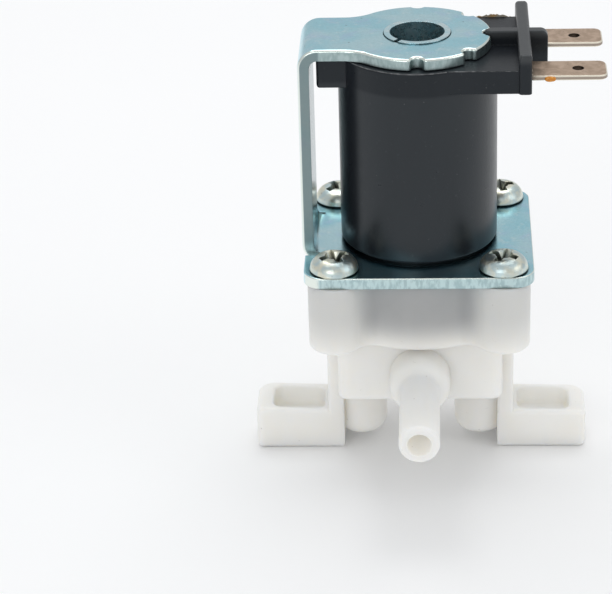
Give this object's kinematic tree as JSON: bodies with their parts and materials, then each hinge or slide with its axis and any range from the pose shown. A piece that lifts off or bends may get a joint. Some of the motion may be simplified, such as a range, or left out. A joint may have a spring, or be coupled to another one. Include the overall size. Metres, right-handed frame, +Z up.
{
  "type": "solenoid valve",
  "caption": "Normally closed water solenoid valve: white plastic body with push-on tube stems and mounting ears, and a coil in a bent steel yoke with spade terminals.",
  "frame": {"origin": "on the coil axis, level with the underside of the mounting ears, midway between their screw holes", "axes": "+Z up along the coil axis, +X towards the spade terminals, -Y along the inlet stem and +Y along the outlet stem"},
  "size_m": [0.0562, 0.072, 0.0722],
  "materials": {
    "body_plastic": "white moulded plastic, slightly translucent",
    "screw_steel": "bright zinc-plated steel",
    "yoke_steel": "blue zinc-plated steel sheet",
    "coil_plastic": "charcoal glass-filled plastic, satin",
    "bobbin_plastic": "black glass-filled plastic",
    "copper_wire": "enamelled copper wire",
    "winding_tape": "amber film tape",
    "terminal_brass": "tinned brass, tarnished",
    "sleeve_steel": "zinc-plated rolled steel",
    "tube_plastic": "dark glass-filled plastic",
    "plunger_steel": "magnetic stainless steel",
    "seal_rubber": "black rubber",
    "spring_steel": "stainless spring wire",
    "diaphragm_rubber": "black rubber",
    "insert_plastic": "natural plastic"
  },
  "bodies": {
    "housing": {"valve_body": "body_plastic", "body_screws": "screw_steel", "yoke_frame": "yoke_steel", "coil_shell": "coil_plastic", "bobbin": "bobbin_plastic", "winding": "copper_wire", "winding_tape": "winding_tape", "terminal_front": "terminal_brass", "terminal_rear": "terminal_brass", "lead_front": "copper_wire", "lead_rear": "copper_wire", "upper_flux_sleeve": "sleeve_steel", "lower_flux_sleeve": "sleeve_steel", "guide_tube": "tube_plastic", "plunger_spring": "spring_steel", "diaphragm": "diaphragm_rubber", "inlet_strainer": "insert_plastic"},
    "armature": {"plunger": "plunger_steel", "plunger_seal": "seal_rubber"},
    "diaphragm_core": {"diaphragm_insert": "insert_plastic"}
  },
  "joints": [
    {"name": "plunger_lift", "type": "slide", "parent": "housing", "child": "armature", "axis": [0, 0, 1], "range_m": [0, 0.002], "stiffness_N_per_m": 80, "springref_m": -0.006, "deforming": ["plunger_spring"]},
    {"name": "diaphragm_lift", "type": "slide", "parent": "housing", "child": "diaphragm_core", "axis": [0, 0, 1], "range_m": [0, 0.0012], "deforming": ["diaphragm"]}
  ],
  "couplings": [
    {"joint": "diaphragm_lift", "follows": "plunger_lift", "ratio": 0.6}
  ]
}
